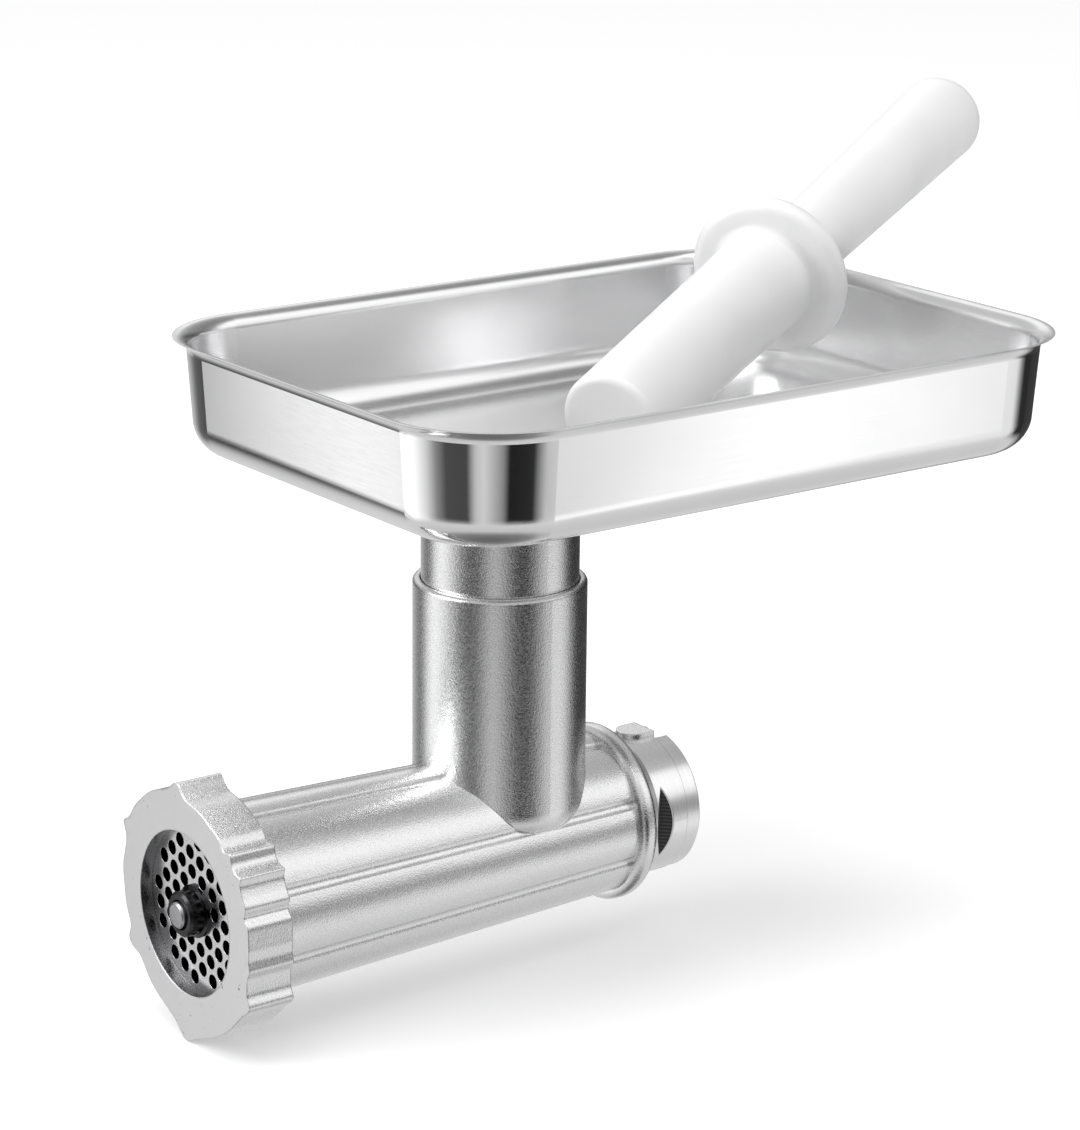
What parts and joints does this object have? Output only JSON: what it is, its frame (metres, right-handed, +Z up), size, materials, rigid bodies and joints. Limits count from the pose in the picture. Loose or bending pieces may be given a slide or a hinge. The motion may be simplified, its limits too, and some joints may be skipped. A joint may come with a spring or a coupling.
{
  "type": "meat grinder head",
  "caption": "Cast aluminium meat grinding head with a feed neck, ring nut, perforated plate, auger and knife, a stainless tray and a white pestle.",
  "frame": {"origin": "on the barrel axis, at the rear end of the drive spigot", "axes": "+Z up along the feed neck, +Y along the barrel out of the drive spigot, so the cutting end faces -Y"},
  "size_m": [0.2195, 0.451, 0.2932],
  "materials": {
    "cast_aluminium": "as cast, fine rough",
    "cast_auger": "as cast, satin",
    "plate_steel": "ground",
    "dark_steel": "hardened, dark",
    "pin_steel": "turned",
    "fibre_washer": "plain",
    "bronze_bush": "turned bronze",
    "seal_rubber": "moulded",
    "stainless": "fine brushed stainless",
    "white_plastic": "satin white polyethylene"
  },
  "bodies": {
    "housing": {"head_casting": "cast_aluminium", "plate_key": "pin_steel", "rear_bush": "bronze_bush", "thrust_washer": "fibre_washer", "seal_case": "pin_steel", "seal_lip": "seal_rubber", "seal_spring": "pin_steel", "retaining_ring": "dark_steel"},
    "drive": {"auger": "cast_auger", "knife": "plate_steel", "knife_stud": "pin_steel", "drive_shank": "pin_steel", "shank_pin": "pin_steel"},
    "plate": {"grinding_plate": "plate_steel", "plate_hub": "dark_steel"},
    "ring": {"ring_nut": "cast_aluminium"},
    "feed": {"feed_tube": "cast_aluminium"},
    "tray": {"tray_pan": "stainless", "tray_collar": "stainless"},
    "pestle": {"pestle": "white_plastic"}
  },
  "joints": [
    {"name": "auger_spin", "type": "hinge", "parent": "housing", "child": "drive", "pos_m": [0, -0.1, 0], "axis": [0, 1, 0], "continuous": true},
    {"name": "plate_slide", "type": "slide", "parent": "housing", "child": "plate", "axis": [0, -1, 0], "range_m": [0, 0.012]},
    {"name": "ring_turn", "type": "hinge", "parent": "plate", "child": "ring", "pos_m": [0, -0.2, 0], "axis": [0, -1, 0], "range_deg": [0, 1440]},
    {"name": "tube_lift", "type": "slide", "parent": "housing", "child": "feed", "axis": [0, 0, 1], "range_m": [0, 0.045]},
    {"name": "tray_swivel", "type": "hinge", "parent": "feed", "child": "tray", "pos_m": [0, -0.075, 0.14], "axis": [0, 0, 1], "continuous": true},
    {"name": "pestle_lift", "type": "slide", "parent": "tray", "child": "pestle", "axis": [0, 0, 1], "range_m": [0, 0.2]}
  ],
  "couplings": [
    {"joint": "plate_slide", "follows": "ring_turn", "m_per_rad": 0.00047746}
  ]
}
